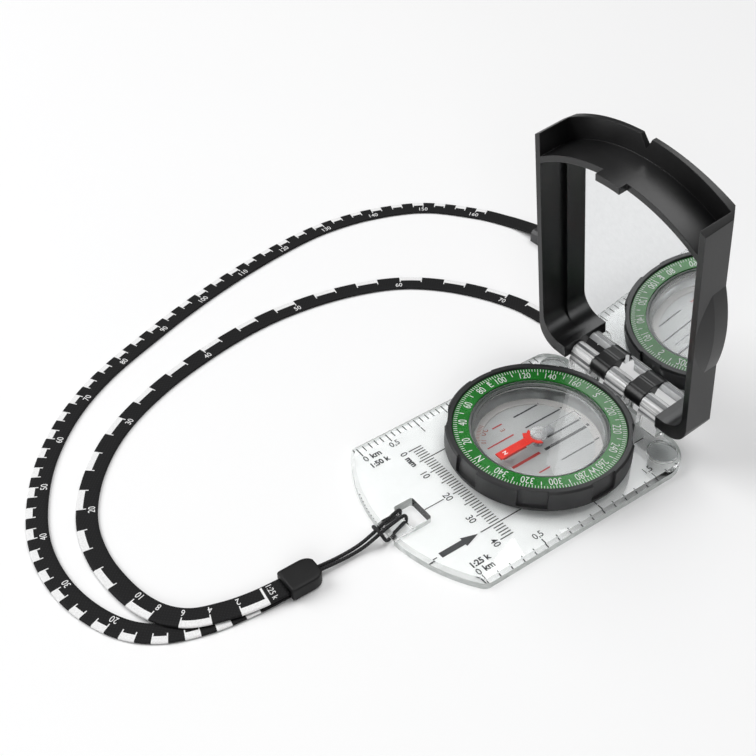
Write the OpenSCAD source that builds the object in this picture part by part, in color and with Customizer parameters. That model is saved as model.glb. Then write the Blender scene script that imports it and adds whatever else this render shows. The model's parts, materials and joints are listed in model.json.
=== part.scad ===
// Sighting baseplate compass: clear baseplate, rotating dial with a magnetic
// needle, hinged mirror lid and a flat lanyard. Millimetres, +Z up, table at Z = 0,
// +Y towards the hinge. The lid stands open.

/* [Baseplate] */
// Half width of the plate at its underside
plate_half_w = 29.9; // [29.5:0.1:31]
// Thickness of the plate
plate_t = 3; // [2.8:0.1:3.2]
// Bevel of the plate's long and front edges
plate_bevel = 1; // [0.6:0.1:1.6]
// Radius of the curved front end
front_arc_r = 48; // [46:0.5:52]
// Y of the front end on the centre line
front_y = -45.8; // [-47:0.1:-45.6]
// Y of the rear end
rear_y = 39; // [38:0.1:40]
// Y of the dial's axis
dial_y = 7.5; // [7.2:0.1:7.6]

/* [Dial] */
// Outer radius of the grip ring
bezel_r = 26.3; // [26:0.1:26.5]
// Height of the grip ring's top
bezel_top = 10.4; // [10.2:0.1:10.6]
// Number of grips round the ring
grip_count = 8; // [6:1:9]
// Depth of the recess between two grips
grip_depth = 0.8; // [0.4:0.1:1]
// Outer radius of the graduated ring
scale_r = 24.1; // [24:0.1:24.2]
// Inner radius of the graduated ring
scale_inner_r = 19.6; // [19.4:0.1:19.8]

/* [Needle] */
// Length of the needle from the axis to a tip
needle_reach = 14.5; // [13:0.5:15.2]
// Width of the needle's blade
needle_w = 2.6; // [2:0.1:3]

/* [Lid] */
// Opening angle of the lid as modelled, from closed
lid_angle = 83; // [75:1:95]
// Height of the hinge's axis
hinge_z = 9.9; // [9.8:0.1:10.2]
// Y of the hinge's axis
hinge_y = 38.5; // [38.4:0.1:38.8]
// Half width of the lid at its rim
lid_half_w = 29.4; // [29:0.1:29.5]
// Thickness of the lid's walls
lid_wall = 1.8; // [1.6:0.1:2]
// Distance from the hinge to the middle of the lid's free edge
lid_len = 81.4; // [80:0.1:82]

/* [Lanyard] */
// Diameter of the elastic tether cord
tether_d = 1; // [0.9:0.1:1.1]
// Width of the flat ribbon
ribbon_w = 5.9; // [5:0.1:6.5]
// Thickness of the flat ribbon
ribbon_t = 0.8; // [0.6:0.1:0.9]

/* [Hidden] */
$fn = 96;
eps = 0.01;
big = 200;

// Plate
front_arc_y = front_y + front_arc_r;
front_corner_r = 3;
rear_corner_r = 9.5;
dial_hole_r = 19.8;
collar_r = 21.6;
collar_top = 6.2;
slot_half_w = 4.5;
slot_front_y = -39.6;
slot_rear_y = -33.3;
slot_corner_r = 0.8;
groove_half_w = 3.7;
groove_h = 1.6;
foot_x = 22.5;
foot_y = 33.8;
foot_r = 4.3;
foot_h = 2;

// Hinge: three plate knuckles, and four lid knuckles between and beside them
pin_r = 1;
knuckle_r = 2.75;
knuckle_pitch = 14.2;
plate_knuckle_w = 7.6;
stand_front = 3.3;
side_gap = 0.3;
lid_knuckle_end = 25;
pin_half_len = 24.6;
bushing_r = 1.6;
running_gap = 0.05;

// Dial
dial_gap = 0.3;
glide_t = 0.25;
bezel_z = plate_t + dial_gap;
bezel_bore_r = 22;
shoulder_z = 7.5;
scale_z = 8.7;
scale_top = 9.7;
snap_z = 4.8;
snap_mid_r = 21.85;
snap_wire_r = 0.4;
snap_grip = 0.42;
snap_slack = 0.7;
cup_r = 19.3;
cup_inner_r = 18.1;
cup_bottom = 0.5;
cup_floor = 2;
disc_top = 2.5;
lens_seat_r = 18.9;
lens_seat_z = 7.2;
gasket_top = 7.6;
lens_edge_top = 8.9;
lens_rise = 0.5;

// Needle
blade_z = 5.7;
blade_t = 0.35;
hub_r = 2.4;
post_tip_z = 6.65;

// Lid, in its closed frame: v runs from the hinge to the free edge, w is up
mirror_w = 3.2;
mirror_t = 1.5;
mirror_gap = 1.4;
backing_t = 0.5;
panel_w = mirror_w + mirror_t + backing_t;
panel_t = 3;
back_w = panel_w + panel_t;
free_edge_w = panel_w + 1.1;
rim_w = -4.9;
lid_inner_half_w = lid_half_w - lid_wall;
free_arc_r = 55;
end_wall_v = 75;
end_wall_t = 2;
end_wall_r = 50;
back_half_w = 26.2;
back_chamfer_w = 3.6;
back_edge_v = 7;
corner_v = -0.5;
lid_corner_r = 7;
mirror_v = 3.6;
lid_inner_corner_r = 7;
grip_bulge = 1.7;
grip_bulge_r = 50;
grip_bulge_v = 39;
tab_half_w = 4.1;
tab_w = -7.5;
sight_slot_half_w = 1.7;
sight_slot_top = 8.2;
notch_depth = 3.7;
notch_half_w = 2.5;

// Lanyard
ferrule_x = 0.5;
ferrule_front_y = -67;
ferrule_rear_y = -76.5;
ferrule_half_w = 4;
ferrule_h = 4.2;
clip_x = -68.3;
clip_y = 78.4;
clip_turn = 2;
clip_half_len = 11;
clip_half_w = 4.2;
clip_h = 4.4;
clip_ribbon_z = 2.2;

// Tether: out of the ferrule, over the front bar, down the slot, back under the
// bar and across itself; the second half is its mirror image
tether_half = [
    [-0.6, -67, 2.1], [-0.6, -62.5, 1.5], [-0.65, -58, 1.2], [-0.7, -53.5, 1.5],
    [-0.75, -49.8, 2.6], [-0.85, -46.4, 3.7], [-1, -43, 3.8], [-1.15, -39.9, 3.75],
    [-1.25, -38.75, 3.1], [-1.35, -38.45, 1.95], [-1.5, -38.85, 0.85], [-1.65, -40.6, 0.75],
    [-2, -43.5, 0.75], [-2.2, -46, 0.85], [-2.4, -47.2, 1.9], [-2, -48, 3.7]
];
// The knot leans to the left over the bar
knot_y = -47.5;
knot_lean = 0.2;
function leaned(p) = [p[0] + ferrule_x - knot_lean * max(0, p[1] - knot_y), p[1], p[2]];
function mirrored(p) = [-p[0], p[1], p[2]];
tether_route = concat(
    [for (p = tether_half) leaned(p)],
    [[ferrule_x, -48.3, 4.6]],
    [for (i = [len(tether_half) - 1 : -1 : 0]) leaned(mirrored(tether_half[i]))]
);

// Outer ribbon, from the ferrule to the breakaway plug
ribbon_outer_route = [
    [0.5, -76.5, 1.1], [-0.3, -86, 0.6], [-2, -97, 0.45], [-6, -107.5, 0.45],
    [-13, -115, 0.45], [-24, -120, 0.45], [-37, -122, 0.45], [-51, -120.5, 0.45],
    [-65, -115, 0.45], [-79, -106, 0.45], [-92, -93, 0.45], [-102, -77.5, 0.45],
    [-110, -58.5, 0.45], [-117, -39, 0.45], [-122.5, -19.5, 0.45], [-126.5, 1, 0.45],
    [-128, 20, 0.45], [-125, 39, 0.45], [-117, 56.5, 0.45], [-103, 69, 0.45],
    [-93, 74.7, 0.45], [-86.5, 77, 0.9], [-79.3, 78, clip_ribbon_z]
];

// Inner ribbon, from the breakaway socket round behind the lid to the ferrule
ribbon_inner_route = [
    [-57.3, 78.8, clip_ribbon_z], [-47, 80.4, 0.9], [-37, 81, 0.45], [-26, 78.5, 0.45],
    [-17, 71, 0.45], [-14, 61.5, 0.45], [-19.3, 54.3, 0.45], [-29.5, 51, 0.45],
    [-42, 49, 0.45], [-53.5, 46.8, 0.45], [-65.5, 41.3, 0.45], [-77, 33, 0.45],
    [-86, 22.5, 0.45], [-92, 8.7, 0.45], [-95.5, -8, 0.45], [-96, -26, 0.45],
    [-93, -45.5, 0.45], [-87, -66, 0.45], [-78, -84, 0.45], [-66, -97.5, 0.45],
    [-52, -106.5, 0.45], [-38, -110, 0.45], [-24, -109.5, 0.6], [-13, -106.5, 1.1],
    [-6, -101, 1.45], [-2.5, -93, 1.5], [-0.5, -85, 1.8], [0.5, -76.5, 2.2]
];

// ---------- helpers ----------

function unit(v) = v / norm(v);
function heading(route, i) =
    unit(route[min(i + 1, len(route) - 1)] - route[max(i - 1, 0)]);

// Ring of points round a route point: an oval w wide and t thick, lying flat
function ring(route, i, w, t, sides) =
    let (along = heading(route, i),
         across = unit(cross(along, [0, 0, 1])),
         up = cross(across, along))
    [for (k = [0 : sides - 1])
        let (a = 360 * (k + 0.5) / sides)
        route[i] + across * w / 2 * sign(cos(a)) * pow(abs(cos(a)), w > t ? 0.35 : 1)
                 + up * t / 2 * sin(a) / (w > t ? sin(90 - 180 / sides) : 1)];

module sweep(route, w, t, sides = 8) {
    n = len(route);
    points = [for (i = [0 : n - 1]) each ring(route, i, w, t, sides)];
    walls = [for (i = [0 : n - 2], k = [0 : sides - 1])
        let (a = i * sides + k, b = i * sides + (k + 1) % sides)
        [a, b, b + sides, a + sides]];
    start_cap = [for (k = [sides - 1 : -1 : 0]) k];
    end_cap = [for (k = [0 : sides - 1]) (n - 1) * sides + k];
    polyhedron(points, concat(walls, [start_cap, end_cap]), convexity = 10);
}

module disc_at(x, y, r) { translate([x, y]) circle(r); }

// Round bar along X between two X values
module bar_x(x0, x1, r) {
    translate([x0, 0, 0]) rotate([0, 90, 0]) cylinder(r = r, h = x1 - x0);
}

// Ring with a square section
module washer(r_in, r_out, z0, z1) {
    translate([0, 0, z0]) difference() {
        cylinder(r = r_out, h = z1 - z0);
        translate([0, 0, -1]) cylinder(r = r_in, h = z1 - z0 + 2);
    }
}

module mirror_copy() { children(); mirror([1, 0, 0]) children(); }

module at_dial() { translate([0, dial_y, 0]) children(); }
module at_hinge() { translate([0, hinge_y, hinge_z]) children(); }

// Carries a shape from the lid's frame (x, v, w) to its open place
module lid_place() {
    at_hinge() rotate([-lid_angle, 0, 0]) mirror([0, 1, 0]) children();
}

// ---------- baseplate ----------

module front_corner_cut() {
    cx = plate_half_w - front_corner_r;
    cy = front_arc_y - sqrt(pow(front_arc_r - front_corner_r, 2) - pow(cx, 2));
    out = unit([cx, cy - front_arc_y]) * 2 * front_corner_r;
    difference() {
        polygon([[cx, cy], [cx + 2 * front_corner_r, cy],
                 [cx + 2 * front_corner_r, cy - 2 * front_corner_r], [cx + out[0], cy + out[1]]]);
        disc_at(cx, cy, front_corner_r);
    }
}

module rear_corner_cut() {
    translate([plate_half_w - rear_corner_r, rear_y - rear_corner_r]) difference() {
        square(rear_corner_r + 1);
        circle(rear_corner_r);
    }
}

module plate_outline() {
    difference() {
        intersection() {
            translate([-plate_half_w, front_y - 1])
                square([2 * plate_half_w, rear_y - front_y + 1]);
            union() {
                disc_at(0, front_arc_y, front_arc_r);
                translate([-big / 2, front_arc_y - 30]) square([big, big]);
            }
        }
        mirror_copy() front_corner_cut();
        mirror_copy() rear_corner_cut();
    }
}

// Long edges lean in by the bevel
module side_bevel() {
    w = plate_half_w;
    translate([0, big / 2, 0]) rotate([90, 0, 0]) linear_extrude(big)
        polygon([[-w, 0], [w, 0], [w, plate_t - plate_bevel], [w - plate_bevel, plate_t],
                 [plate_bevel - w, plate_t], [-w, plate_t - plate_bevel]]);
}

// Front edge leans in by the same bevel
module front_bevel() {
    translate([0, front_arc_y, plate_t - plate_bevel])
        cylinder(r1 = front_arc_r, r2 = front_arc_r - plate_bevel, h = plate_bevel);
    translate([0, front_arc_y, -1]) cylinder(r = front_arc_r, h = plate_t - plate_bevel + 1);
    translate([-big / 2, front_arc_y - 30, -1]) cube([big, big, plate_t + 1]);
}

module slot_outline() {
    r = slot_corner_r;
    translate([-slot_half_w + r, slot_front_y]) square([2 * (slot_half_w - r), slot_rear_y - slot_front_y]);
    translate([-slot_half_w, slot_front_y + r]) square([2 * slot_half_w, slot_rear_y - slot_front_y - 2 * r]);
    mirror_copy() {
        disc_at(slot_half_w - r, slot_front_y + r, r);
        disc_at(slot_half_w - r, slot_rear_y - r, r);
    }
}

// Stand and barrel of one plate knuckle
module plate_knuckle(x) {
    half = plate_knuckle_w / 2;
    translate([x - half, 0, 0]) rotate([90, 0, 90]) linear_extrude(plate_knuckle_w)
        polygon([[-stand_front, plate_t - 1 - hinge_z], [knuckle_r, plate_t - 1 - hinge_z],
                 [knuckle_r, 0], [-knuckle_r, 0], [-stand_front, -2.2]]);
    bar_x(x - half, x + half, knuckle_r);
}

// Shallow grooves along the front of a plate knuckle
module knuckle_grooves() {
    for (a = [118, 156, 196])
        rotate([a - 90, 0, 0]) translate([-big / 2, -0.3, knuckle_r - 0.25]) cube([big, 0.6, 1]);
}

module baseplate() {
    color([0.9, 0.94, 0.94, 0.5]) difference() {
        union() {
            intersection() {
                linear_extrude(plate_t) plate_outline();
                side_bevel();
                front_bevel();
            }
            at_dial() washer(dial_hole_r, collar_r, plate_t - 1, collar_top);
            at_hinge() difference() {
                for (i = [-1 : 1]) plate_knuckle(i * knuckle_pitch);
                knuckle_grooves();
            }
            // foot of the hinge stands behind the rear edge
            for (i = [-1 : 1])
                translate([i * knuckle_pitch - plate_knuckle_w / 2, rear_y - 2, 0])
                    cube([plate_knuckle_w, hinge_y + knuckle_r - rear_y + 2, plate_t]);
        }
        at_dial() translate([0, 0, -1]) cylinder(r = dial_hole_r, h = big);
        // groove of the snap ring round the collar
        at_dial() washer(collar_r - 0.55, collar_r + 1, snap_z - snap_slack, snap_z + snap_slack);
        translate([0, 0, -1]) linear_extrude(plate_t + 2) slot_outline();
        // relief under the front bar for the tether
        translate([-groove_half_w + ferrule_x, front_y - 1, -1])
            cube([2 * groove_half_w, slot_front_y - front_y + 1 + eps, groove_h + 1]);
        at_hinge() bar_x(-big / 2, big / 2, pin_r);
        for (s = [-1, 1])
            translate([s * foot_x, foot_y, -1]) cylinder(r = foot_r, h = foot_h + 1);
    }
}

module hinge_pin() {
    color("silver") at_hinge() bar_x(-pin_half_len, pin_half_len, pin_r);
}

// Soft clear friction foot pressed into the underside
module foot(side) {
    color([0.85, 0.87, 0.87]) translate([side * foot_x, foot_y, 0]) cylinder(r = foot_r, h = foot_h);
}

// Low friction washer under the grip ring
module glide_ring() {
    color("white") at_dial() washer(23.2, 25.4, plate_t, plate_t + glide_t);
}

// ---------- dial ----------

module bezel_section() {
    polygon([[bezel_bore_r, bezel_z], [bezel_r - 0.4, bezel_z], [bezel_r, bezel_z + 0.4],
             [bezel_r, bezel_top - 0.5], [bezel_r - 0.5, bezel_top], [scale_r + 0.3, bezel_top],
             [scale_r + 0.1, bezel_top - 0.5], [scale_r + 0.1, shoulder_z], [bezel_bore_r, shoulder_z]]);
}

module bezel_ring() {
    pitch = 360 / grip_count;
    recess_span = 18;
    recess_z = bezel_z + 1.2;
    color([0.13, 0.13, 0.14]) at_dial() difference() {
        rotate_extrude() bezel_section();
        for (i = [0 : grip_count - 1])
            rotate([0, 0, i * pitch - recess_span / 2]) translate([0, 0, recess_z])
                rotate_extrude(angle = recess_span)
                    translate([bezel_r - grip_depth, 0]) square([grip_depth + 1, big]);
        washer(bezel_bore_r - 1, snap_mid_r + snap_wire_r + 0.02, snap_z - snap_grip, snap_z + snap_grip);
    }
}

module snap_ring() {
    color("silver") at_dial() rotate([0, 0, 15]) rotate_extrude(angle = 330)
        translate([snap_mid_r, snap_z]) circle(snap_wire_r, $fn = 24);
}

module graduation_ring() {
    color([0.1, 0.5, 0.15]) at_dial() washer(scale_inner_r, scale_r, scale_z, scale_top);
}

module capsule_cup() {
    color([0.8, 0.82, 0.82]) at_dial() rotate_extrude()
        polygon([[0, cup_bottom], [cup_r, cup_bottom], [cup_r, shoulder_z], [scale_r, shoulder_z],
                 [scale_r, scale_z], [scale_inner_r - 0.1, scale_z], [scale_inner_r - 0.1, scale_top - 0.4],
                 [lens_seat_r, scale_top - 0.4], [lens_seat_r, lens_seat_z],
                 [cup_inner_r, lens_seat_z], [cup_inner_r, cup_floor], [0, cup_floor]]);
}

module capsule_gasket() {
    color([0.25, 0.25, 0.25]) at_dial()
        washer(cup_inner_r, lens_seat_r - 0.05, lens_seat_z, gasket_top);
}

// Low dome on a plain rim, hollowed a little over the needle
module capsule_lens() {
    edge_r = lens_seat_r - 0.05;
    dome_r = (pow(edge_r, 2) + pow(lens_rise, 2)) / (2 * lens_rise);
    dome_top = lens_edge_top + lens_rise;
    dome_steps = 5;
    dome = [for (i = [0 : dome_steps])
        let (r = edge_r * i / dome_steps) [r, dome_top - dome_r + sqrt(dome_r * dome_r - r * r)]];
    hollow = [[edge_r, gasket_top], [cup_inner_r, gasket_top],
              [cup_inner_r, gasket_top + 0.5], [0, gasket_top + 0.5]];
    color([0.85, 0.9, 0.92, 0.4]) at_dial() rotate_extrude() polygon(concat(dome, hollow));
}

module orienting_disc() {
    color([0.82, 0.83, 0.83]) at_dial() difference() {
        translate([0, 0, cup_floor]) cylinder(r = cup_inner_r - 0.1, h = disc_top - cup_floor);
        translate([0, 0, cup_floor - 1]) cylinder(r = 1.3, h = 3);
    }
}

module declination_ring() {
    color([0.75, 0.72, 0.7]) at_dial() washer(15.8, cup_inner_r - 0.1, disc_top, disc_top + 0.4);
}

module pivot_post() {
    color("silver") at_dial() {
        translate([0, 0, cup_floor]) cylinder(r = 1.25, h = 0.9);
        translate([0, 0, cup_floor]) cylinder(r = 0.45, h = 3.6);
        translate([0, 0, cup_floor + 3.6]) cylinder(r1 = 0.45, r2 = 0.08, h = post_tip_z - cup_floor - 3.6);
    }
}

// ---------- needle ----------

// Fork at the root of a blade that takes the hub, then the blade out to its tip
module blade(width, fork) {
    difference() {
        union() {
            translate([-width / 2, -needle_reach]) square([width, needle_reach - hub_r]);
            if (fork) rotate(-90) mirror_copy() rotate(-32) translate([hub_r - 0.2, -0.8]) square([2.2, 1.6]);
            circle(hub_r + 0.9);
        }
        circle(hub_r + 0.02);
        translate([-big / 2, -1.1]) square([big, big]);
    }
}

module needle_blade(width, fork) {
    at_dial() translate([0, 0, blade_z]) linear_extrude(blade_t) blade(width, fork);
}

module needle_north() { color([0.85, 0.12, 0.1]) needle_blade(needle_w, true); }

module needle_south() {
    color([0.9, 0.93, 0.93, 0.5]) translate([0, 2 * dial_y, 0]) rotate([0, 0, 180])
        needle_blade(needle_w, false);
}

module needle_magnet() {
    color([0.35, 0.36, 0.38]) at_dial() difference() {
        translate([-1.1, -5, blade_z - 0.9]) cube([2.2, 10, 0.9]);
        translate([0, 0, blade_z - 2]) cylinder(r = 0.8, h = 4);
    }
}

module needle_hub() {
    color([0.9, 0.92, 0.92]) at_dial() difference() {
        union() {
            translate([0, 0, blade_z]) cylinder(r = hub_r, h = 1.2);
            translate([0, 0, blade_z + 1.2]) cylinder(r1 = hub_r, r2 = hub_r - 0.5, h = 0.4);
        }
        translate([0, 0, blade_z - 1]) cylinder(r = 1, h = 2.05);
    }
}

module jewel_bearing() {
    color([0.7, 0.1, 0.3]) at_dial() difference() {
        translate([0, 0, blade_z + 0.15]) cylinder(r = 0.98, h = 0.88);
        translate([0, 0, blade_z + 0.1]) cylinder(r1 = 0.7, r2 = 0.12, h = 0.87);
    }
}

// ---------- lid ----------

function arc_v(r, top, x) = top - r + sqrt(r * r - x * x);

// Plan of the lid: straight sides, arced free edge, round hinge corners
module lid_plan() {
    w = lid_half_w;
    c = lid_corner_r;
    intersection() {
        union() {
            translate([-w, corner_v + c]) square([2 * w, lid_len]);
            translate([-w + c, corner_v]) square([2 * (w - c), lid_len]);
            mirror_copy() disc_at(w - c, corner_v + c, c);
        }
        union() {
            disc_at(0, lid_len - free_arc_r, free_arc_r);
            translate([-w, corner_v]) square([2 * w, lid_len - 30]);
        }
    }
}

// Outline inside the walls; the end wall follows an arc of its own
module lid_inside(inset = 0) {
    w = lid_inner_half_w - inset;
    r = lid_inner_corner_r - inset;
    top = end_wall_v - end_wall_t - inset;
    intersection() {
        difference() {
            translate([-w, mirror_v]) square([2 * w, lid_len]);
            mirror_copy() difference() {
                translate([w - r, mirror_v - 1]) square([r + 1, r + 1]);
                disc_at(w - r, mirror_v + r, r);
            }
        }
        union() {
            disc_at(0, top - end_wall_r, end_wall_r);
            translate([-w, corner_v]) square([2 * w, 40]);
        }
    }
}

// Everything past the end wall's outer face
module past_end_wall() {
    w = lid_inner_half_w;
    difference() {
        translate([-w, 40]) square([2 * w, lid_len]);
        disc_at(0, end_wall_v - end_wall_r, end_wall_r);
    }
}

module slab(w0, w1) { translate([0, 0, w0]) linear_extrude(w1 - w0) children(); }

// Sides lean in towards the back
module lid_cross_section() {
    s = lid_half_w;
    mid = back_w - back_chamfer_w;
    rotate([90, 0, 0]) translate([0, 0, -big / 2]) linear_extrude(big)
        polygon([[-s, rim_w], [s, rim_w], [s - 0.2, mid], [back_half_w, back_w],
                 [-back_half_w, back_w], [0.2 - s, mid]]);
}

// The hinge end slopes, so that the back clears the plate when the lid lies flat
module lid_side_profile() {
    rotate([90, 0, 90]) translate([0, 0, -big / 2]) linear_extrude(big)
        polygon([[corner_v, rim_w], [lid_len + 1, rim_w], [lid_len + 1, free_edge_w],
                 [lid_len - 14, back_w], [back_edge_v, back_w], [corner_v, 0.5]]);
}

// Finger grip that bulges out of each side
module side_grip() {
    intersection() {
        translate([lid_half_w + grip_bulge - grip_bulge_r, grip_bulge_v, 0]) {
            translate([0, 0, rim_w])
                cylinder(r1 = grip_bulge_r - grip_bulge, r2 = grip_bulge_r, h = -rim_w);
            cylinder(r = grip_bulge_r, h = back_w - back_chamfer_w);
        }
        translate([lid_half_w - 1.2, grip_bulge_v - 15, -big / 2]) cube([3, 30, big]);
    }
}

module lid_knuckle(x0, x1) {
    bar_x(x0, x1, knuckle_r);
    // arm from the barrel to the panel
    translate([x0, 0, 0]) rotate([90, 0, 90]) linear_extrude(x1 - x0)
        polygon([[0, 0], [knuckle_r, 0], [mirror_v - 0.2, mirror_w - 0.6], [mirror_v - 0.2, panel_w],
                 [back_edge_v + 1, panel_w], [back_edge_v + 1, back_w], [back_edge_v, back_w],
                 [1.2, 4.2], [-1, knuckle_r - 0.3]]);
}

module lid_knuckles() {
    half = plate_knuckle_w / 2 + side_gap;
    mirror_copy() {
        lid_knuckle(half, knuckle_pitch - half);
        lid_knuckle(knuckle_pitch + half, lid_knuckle_end);
    }
}

module end_tab() {
    slab(tab_w, 0) intersection() {
        difference() {
            disc_at(0, end_wall_v - end_wall_r, end_wall_r);
            disc_at(0, end_wall_v - end_wall_t - end_wall_r, end_wall_r);
        }
        translate([-tab_half_w, 40]) square([2 * tab_half_w, 60]);
    }
}

module lid_frame() {
    half = plate_knuckle_w / 2 + side_gap;
    color([0.12, 0.12, 0.13]) lid_place() difference() {
        union() {
            difference() {
                intersection() {
                    slab(rim_w, back_w) lid_plan();
                    lid_cross_section();
                    lid_side_profile();
                }
                slab(rim_w - 1, panel_w) lid_inside();
                slab(rim_w - 1, panel_w) past_end_wall();
                // room for the hinge between the two corner blocks
                translate([-knuckle_pitch - half, corner_v - 1, rim_w - 1])
                    cube([2 * (knuckle_pitch + half), mirror_v + 2 - corner_v, back_w - rim_w + 2]);
            }
            mirror_copy() side_grip();
            lid_knuckles();
            end_tab();
        }
        bar_x(-lid_knuckle_end - 1, lid_knuckle_end + 1, bushing_r);
        // sighting slot low in the lid
        slab(rim_w - 1, back_w + 1) {
            translate([-sight_slot_half_w, -1])
                square([2 * sight_slot_half_w, sight_slot_top + 1 - sight_slot_half_w]);
            disc_at(0, sight_slot_top - sight_slot_half_w, sight_slot_half_w);
        }
        // sighting notch in the free edge
        slab(rim_w, back_w + 1) polygon([[0, lid_len - notch_depth],
            [notch_half_w, lid_len + 1], [-notch_half_w, lid_len + 1]]);
    }
}

module mirror_outline(inset) {
    difference() {
        lid_inside(inset);
        translate([-sight_slot_half_w, -1])
            square([2 * sight_slot_half_w, sight_slot_top + 1 - sight_slot_half_w]);
        disc_at(0, sight_slot_top - sight_slot_half_w, sight_slot_half_w);
    }
}

module mirror_backing() {
    color([0.3, 0.3, 0.3]) lid_place() slab(mirror_w + mirror_t, panel_w) mirror_outline(mirror_gap + 0.4);
}

module mirror_glass() {
    color([0.85, 0.88, 0.9]) lid_place() slab(mirror_w, mirror_w + mirror_t) mirror_outline(mirror_gap);
}

// Sleeves pressed into the lid's knuckles, turning on the pin
module lid_bushings() {
    half = plate_knuckle_w / 2 + side_gap;
    color([0.75, 0.76, 0.78]) at_hinge() mirror_copy() difference() {
        union() {
            bar_x(half, knuckle_pitch - half, bushing_r);
            bar_x(knuckle_pitch + half, lid_knuckle_end, bushing_r);
        }
        bar_x(0, big / 2, pin_r + running_gap);
    }
}

// ---------- lanyard ----------

module tether_cord() { color([0.2, 0.2, 0.21]) sweep(tether_route, tether_d, tether_d); }

module lanyard_ferrule() {
    h = ferrule_h;
    mid_y = ferrule_front_y - ferrule_half_w + 1.5;
    color([0.06, 0.06, 0.06]) intersection() {
        linear_extrude(h) union() {
            translate([ferrule_x - ferrule_half_w, ferrule_rear_y])
                square([2 * ferrule_half_w, mid_y - ferrule_rear_y]);
            intersection() {
                disc_at(ferrule_x, mid_y - 0.5, ferrule_half_w + 0.2);
                translate([ferrule_x - ferrule_half_w, mid_y - 1])
                    square([2 * ferrule_half_w, ferrule_front_y - mid_y + 1]);
            }
        }
        translate([ferrule_x, 0, 0]) rotate([90, 0, 0]) translate([0, 0, -big / 2]) linear_extrude(big)
            polygon([[-ferrule_half_w + 0.4, 0], [ferrule_half_w - 0.4, 0], [ferrule_half_w, 0.4],
                     [ferrule_half_w, h - 0.7], [ferrule_half_w - 0.7, h],
                     [0.7 - ferrule_half_w, h], [-ferrule_half_w, h - 0.7], [-ferrule_half_w, 0.4]]);
    }
}

module ribbon_outer() { color([0.1, 0.1, 0.1]) sweep(ribbon_outer_route, ribbon_w, ribbon_t); }
module ribbon_inner() { color([0.1, 0.1, 0.1]) sweep(ribbon_inner_route, ribbon_w, ribbon_t); }

module clip_place() {
    translate([clip_x, clip_y, 0]) rotate([0, 0, clip_turn]) children();
}

module clip_shell(x0, x1) {
    intersection() {
        translate([x0, -clip_half_w, 0]) cube([x1 - x0, 2 * clip_half_w, clip_h]);
        rotate([90, 0, 90]) translate([0, 0, -big / 2]) linear_extrude(big)
            polygon([[-clip_half_w, 0], [clip_half_w, 0], [clip_half_w, clip_h - 1],
                     [clip_half_w - 1, clip_h], [1 - clip_half_w, clip_h], [-clip_half_w, clip_h - 1]]);
    }
}

// Plug half, with the two prongs that snap into the socket
module breakaway_plug() {
    color([0.16, 0.16, 0.17]) clip_place() {
        clip_shell(-clip_half_len, -1);
        for (s = [-1, 1]) translate([-1, s * 1.9 - 0.7, 1.4]) cube([7, 1.4, 1.6]);
    }
}

module breakaway_socket() {
    color([0.16, 0.16, 0.17]) clip_place() difference() {
        clip_shell(-0.9, clip_half_len);
        for (s = [-1, 1]) translate([-2, s * 1.9 - 0.9, 1.2]) cube([8.4, 1.8, 2]);
    }
}

baseplate();
hinge_pin();
foot(-1);  // foot_left
foot(1);  // foot_right
glide_ring();
bezel_ring();
snap_ring();
graduation_ring();
capsule_cup();
capsule_gasket();
capsule_lens();
orienting_disc();
declination_ring();
pivot_post();
needle_north();
needle_south();
needle_magnet();
needle_hub();
jewel_bearing();
lid_frame();
mirror_backing();
mirror_glass();
lid_bushings();
tether_cord();
lanyard_ferrule();
ribbon_outer();
ribbon_inner();
breakaway_plug();
breakaway_socket();
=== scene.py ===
import json
import math

import bpy
import numpy as np
from mathutils import Matrix, Vector


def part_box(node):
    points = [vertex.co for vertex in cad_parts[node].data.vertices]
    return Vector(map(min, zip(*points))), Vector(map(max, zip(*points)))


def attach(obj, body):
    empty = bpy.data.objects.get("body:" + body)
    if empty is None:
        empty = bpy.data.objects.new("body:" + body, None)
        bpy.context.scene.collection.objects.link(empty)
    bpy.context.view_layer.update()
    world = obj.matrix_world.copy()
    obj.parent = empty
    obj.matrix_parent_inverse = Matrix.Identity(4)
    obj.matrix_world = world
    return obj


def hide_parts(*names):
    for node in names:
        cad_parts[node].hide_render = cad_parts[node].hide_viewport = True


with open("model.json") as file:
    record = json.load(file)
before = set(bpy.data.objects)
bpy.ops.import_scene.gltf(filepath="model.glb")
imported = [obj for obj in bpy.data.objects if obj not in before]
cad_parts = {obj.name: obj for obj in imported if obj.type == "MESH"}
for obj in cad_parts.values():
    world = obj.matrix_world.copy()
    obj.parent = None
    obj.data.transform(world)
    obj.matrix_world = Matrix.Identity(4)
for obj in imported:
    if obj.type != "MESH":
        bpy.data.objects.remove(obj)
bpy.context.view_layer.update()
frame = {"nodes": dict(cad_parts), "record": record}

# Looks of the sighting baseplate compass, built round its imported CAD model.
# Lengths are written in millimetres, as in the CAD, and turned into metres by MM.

MM = 0.001

# ---------- camera ----------

# where the camera stands, the way it looks and the way its right-hand side points
EYE = (170.26, -164.55, 238.54)
LOOK = Vector((-0.61643, 0.42713, -0.66150))
RIGHT = Vector((0.58097, 0.81377, -0.01593))
FOCAL_PX, PICTURE_PX, SENSOR = 1190.4, 756, 36
CLIP_RANGE = (0.01, 20)


def make_camera():
    back = -LOOK.normalized()
    right = (RIGHT - RIGHT.dot(back) * back).normalized()
    up = back.cross(right)
    data = bpy.data.cameras.new("photo_view")
    data.sensor_width = SENSOR
    data.lens = SENSOR * FOCAL_PX / PICTURE_PX
    data.clip_start, data.clip_end = CLIP_RANGE
    cam = bpy.data.objects.new("photo_view", data)
    bpy.context.scene.collection.objects.link(cam)
    m = Matrix((right, up, back)).transposed().to_4x4()
    m.translation = Vector(EYE) * MM
    cam.matrix_world = m
    bpy.context.scene.camera = cam


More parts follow.
